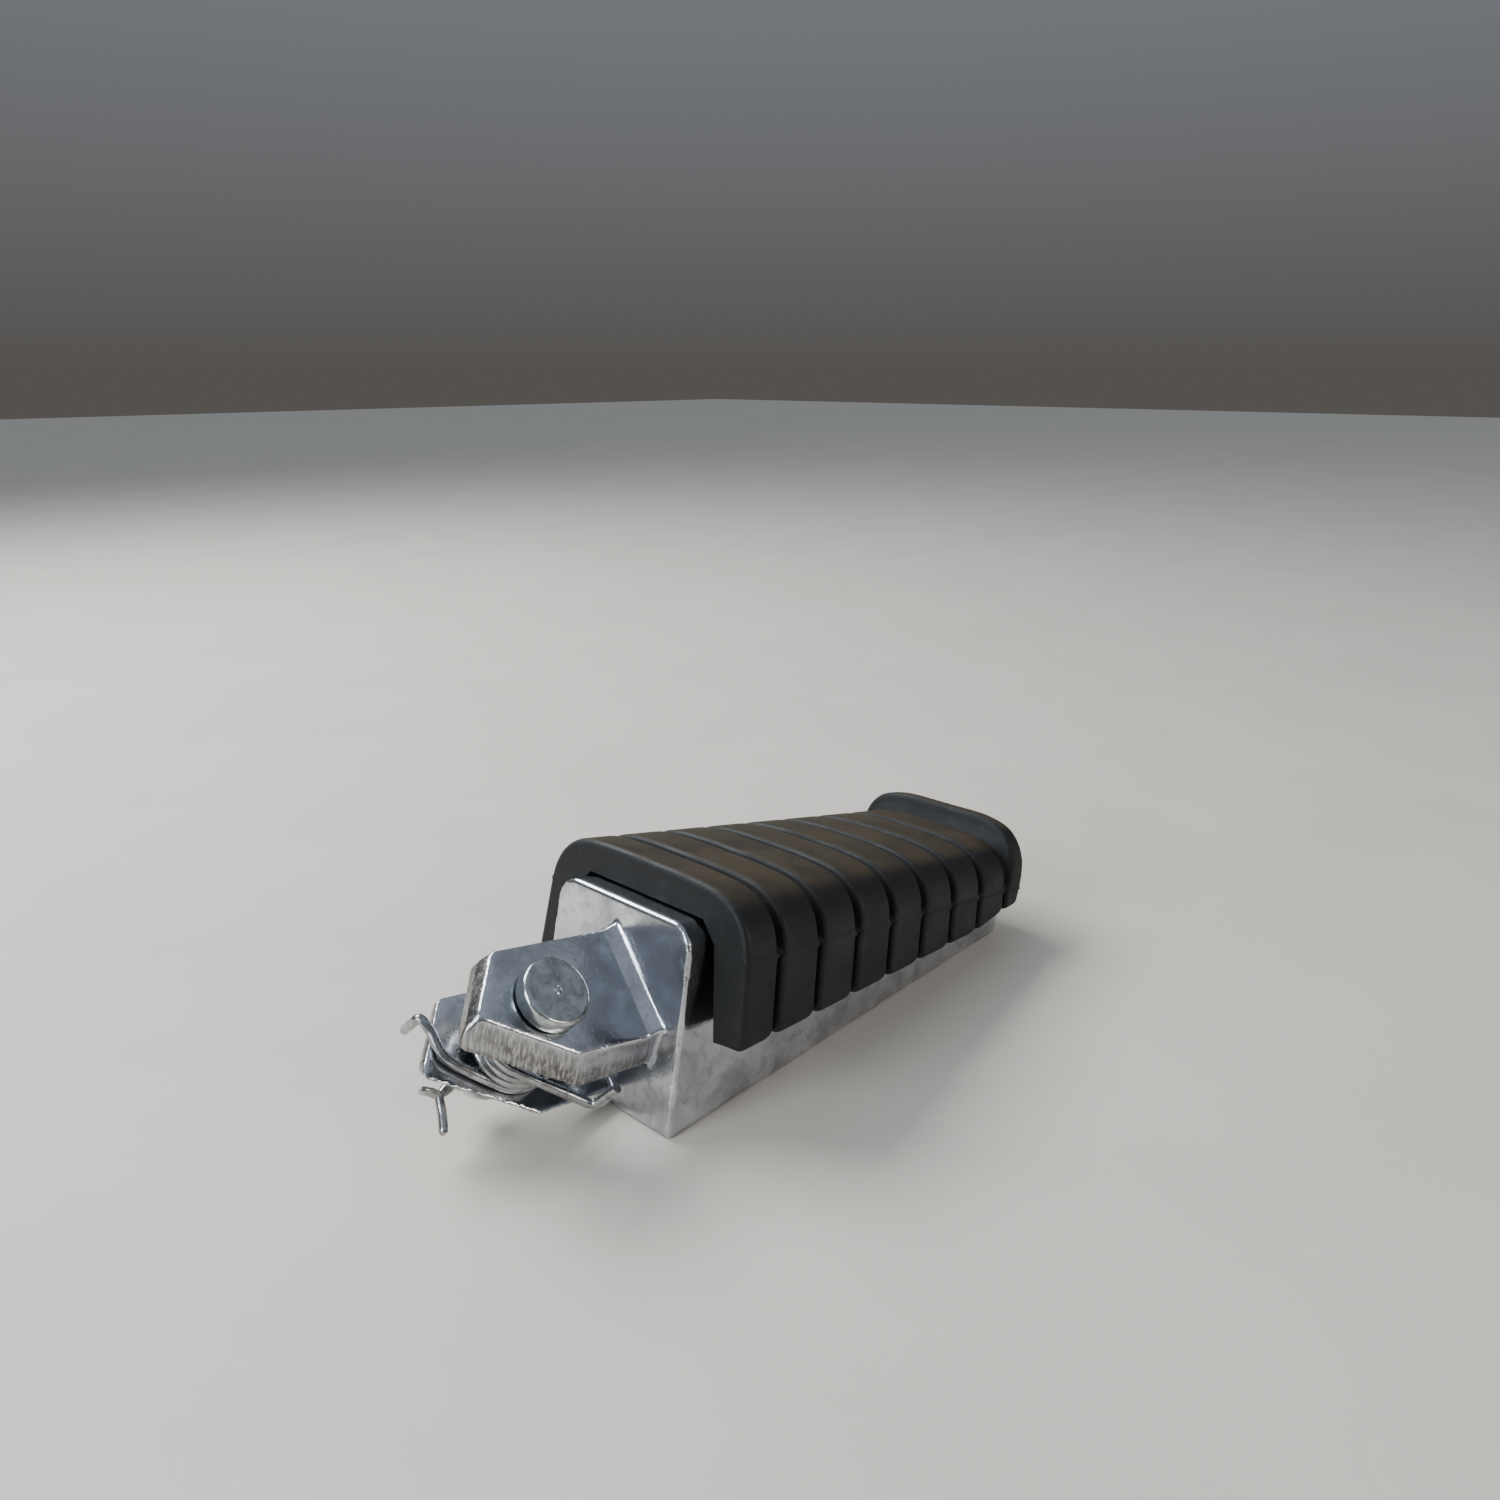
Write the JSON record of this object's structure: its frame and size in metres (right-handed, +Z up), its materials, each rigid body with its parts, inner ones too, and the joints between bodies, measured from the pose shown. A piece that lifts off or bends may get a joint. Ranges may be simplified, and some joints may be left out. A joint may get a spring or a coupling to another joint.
{
  "type": "motorcycle foot peg",
  "caption": "Folding rider foot peg: cast aluminium bar with a slanted clevis, ribbed rubber tread pad, clevis pin held by a split pin, and a coiled return spring.",
  "frame": {"origin": "centre of the bounding box, on the surface that the bar's bottom edge lies on", "axes": "+X along the peg from the clevis to the tip, +Z up, +Y across"},
  "size_m": [0.1264, 0.0494, 0.0376],
  "materials": {
    "cast_aluminium": "polished casting with ground flanks",
    "rubber": "moulded, worn on the rib tops",
    "zinc_steel": "zinc plated",
    "bright_steel": "bright drawn wire",
    "spring_steel": "plated spring wire",
    "black_steel": "black coated pressed steel"
  },
  "bodies": {
    "peg": {"peg_bar": "cast_aluminium", "rubber_pad": "rubber", "pad_carrier_plate": "black_steel", "inner_stud": "zinc_steel", "inner_flat_washer": "zinc_steel", "inner_spring_washer": "spring_steel", "inner_nut": "zinc_steel", "outer_stud": "zinc_steel", "outer_flat_washer": "zinc_steel", "outer_spring_washer": "spring_steel", "outer_nut": "zinc_steel"},
    "pin": {"clevis_pin": "zinc_steel", "split_pin": "bright_steel"},
    "washer": {"pin_washer": "zinc_steel"},
    "spring": {"return_spring": "spring_steel"}
  },
  "joints": [
    {"name": "pin_turn", "type": "hinge", "parent": "peg", "child": "pin", "pos_m": [-0.04888, 0, 0.01999], "axis": [0.1496, -0.6947, 0.7036], "continuous": true},
    {"name": "washer_turn", "type": "hinge", "parent": "pin", "child": "washer", "pos_m": [-0.04888, 0, 0.01999], "axis": [0.1496, -0.6947, 0.7036], "continuous": true},
    {"name": "spring_turn", "type": "hinge", "parent": "peg", "child": "spring", "pos_m": [-0.04888, 0, 0.01999], "axis": [0.1496, -0.6947, 0.7036], "range_deg": [-80, 6]}
  ]
}
